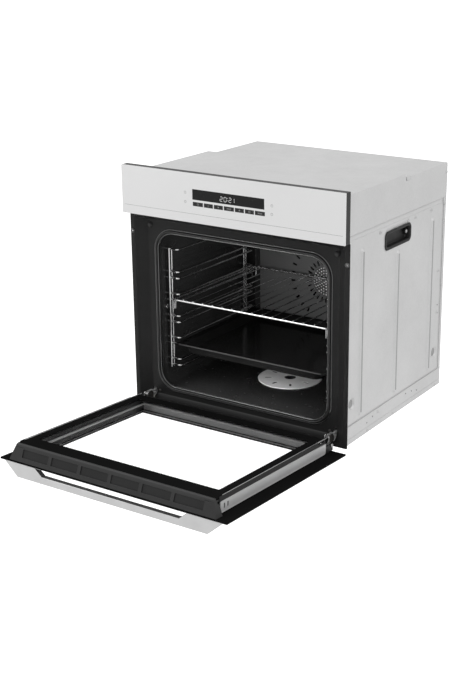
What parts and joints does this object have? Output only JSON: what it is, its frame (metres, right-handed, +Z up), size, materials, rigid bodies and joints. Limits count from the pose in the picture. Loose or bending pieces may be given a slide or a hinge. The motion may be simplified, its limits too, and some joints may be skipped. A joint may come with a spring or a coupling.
{
  "type": "wall oven",
  "caption": "Built-in electric wall oven, door open, with glass control panel, wire racks, shelf, tray, hot air fan and drop-down door.",
  "frame": {"origin": "centre of the flat underside of the base, where the oven stands on its cabinet shelf", "axes": "+X to the right seen from the front, +Y from the front to the back, +Z up"},
  "size_m": [0.595, 0.9903, 0.6029],
  "materials": {
    "white_glass": "gloss, printed on its back",
    "door_glass": "clear, dark printed border",
    "galvanised": "satin zinc",
    "black_enamel": "glossy enamel",
    "black_plastic": "satin",
    "charcoal_plastic": "satin",
    "chrome_wire": "bright",
    "steel": "satin",
    "silver_handle": "satin anodised",
    "heater_sheath": "dull, heat darkened",
    "grey_seal": "dull",
    "glass_wool": "fibrous",
    "lamp_glass": "clear",
    "circuit_board": "satin",
    "rubber": "dull"
  },
  "bodies": {
    "case": {"top_cover": "galvanised", "side_panel_left": "galvanised", "side_panel_right": "galvanised", "hand_grip_left": "black_plastic", "hand_grip_right": "black_plastic", "rear_panel": "galvanised", "cable_gland": "black_plastic", "base_tray": "galvanised", "partition_plate": "galvanised", "front_frame": "black_enamel", "frame_bush_left": "steel", "frame_bush_right": "steel", "door_buffer_left": "rubber", "door_buffer_right": "rubber", "cavity_liner": "black_enamel", "cavity_insulation": "glass_wool", "cavity_gasket": "grey_seal", "floor_disc": "steel", "grill_element": "heater_sheath", "bottom_element": "heater_sheath", "ring_element": "heater_sheath", "fan_cover": "black_enamel", "fan_motor": "steel", "lamp_housing": "steel", "lamp_lens": "lamp_glass", "steam_outlet": "steel", "temperature_probe": "steel", "air_duct": "galvanised", "cooling_motor": "steel", "power_board": "circuit_board", "terminal_block": "black_plastic", "control_glass": "white_glass", "control_housing": "charcoal_plastic", "display_module": "black_plastic", "touch_board": "circuit_board", "side_rack_left": "chrome_wire", "side_rack_right": "chrome_wire", "hinge_receiver_left": "steel", "hinge_receiver_right": "steel", "hinge_arm_left": "steel", "hinge_arm_right": "steel"},
    "door": {"door_post_left": "black_plastic", "door_post_right": "black_plastic", "hinge_pin_left": "steel", "hinge_pin_right": "steel", "door_side_strip_left": "galvanised", "door_side_strip_right": "galvanised", "door_outer_glass": "white_glass", "door_middle_glass": "door_glass", "door_inner_glass": "door_glass", "door_bottom_rail": "black_plastic", "door_trim": "charcoal_plastic", "handle": "silver_handle"},
    "wire_shelf": {"wire_shelf": "chrome_wire"},
    "baking_tray": {"baking_tray": "black_enamel"},
    "convection_fan": {"convection_fan": "steel"},
    "cooling_impeller": {"cooling_impeller": "steel"},
    "hinge_lock_left": {"hinge_lock_left": "steel"},
    "hinge_lock_right": {"hinge_lock_right": "steel"}
  },
  "joints": [
    {"name": "door_hinge", "type": "hinge", "parent": "case", "child": "door", "pos_m": [0, -0.27235, 0.0142], "axis": [-1, 0, 0], "range_deg": [0, 86.5]},
    {"name": "wire_shelf_slide", "type": "slide", "parent": "case", "child": "wire_shelf", "axis": [0, 1, 0], "range_m": [-0.3, 0]},
    {"name": "baking_tray_slide", "type": "slide", "parent": "case", "child": "baking_tray", "axis": [0, 1, 0], "range_m": [-0.3, 0]},
    {"name": "convection_fan_spin", "type": "hinge", "parent": "case", "child": "convection_fan", "pos_m": [0, 0.16, 0.253], "axis": [0, 1, 0], "continuous": true},
    {"name": "cooling_fan_spin", "type": "hinge", "parent": "case", "child": "cooling_impeller", "pos_m": [0, 0.16, 0.526], "axis": [1, 0, 0], "continuous": true},
    {"name": "hinge_lock_left_turn", "type": "hinge", "parent": "case", "child": "hinge_lock_left", "pos_m": [-0.254, -0.253, 0.0315], "axis": [1, 0, 0], "range_deg": [-85, 0]},
    {"name": "hinge_lock_right_turn", "type": "hinge", "parent": "case", "child": "hinge_lock_right", "pos_m": [0.254, -0.253, 0.0315], "axis": [1, 0, 0], "range_deg": [-85, 0]}
  ]
}
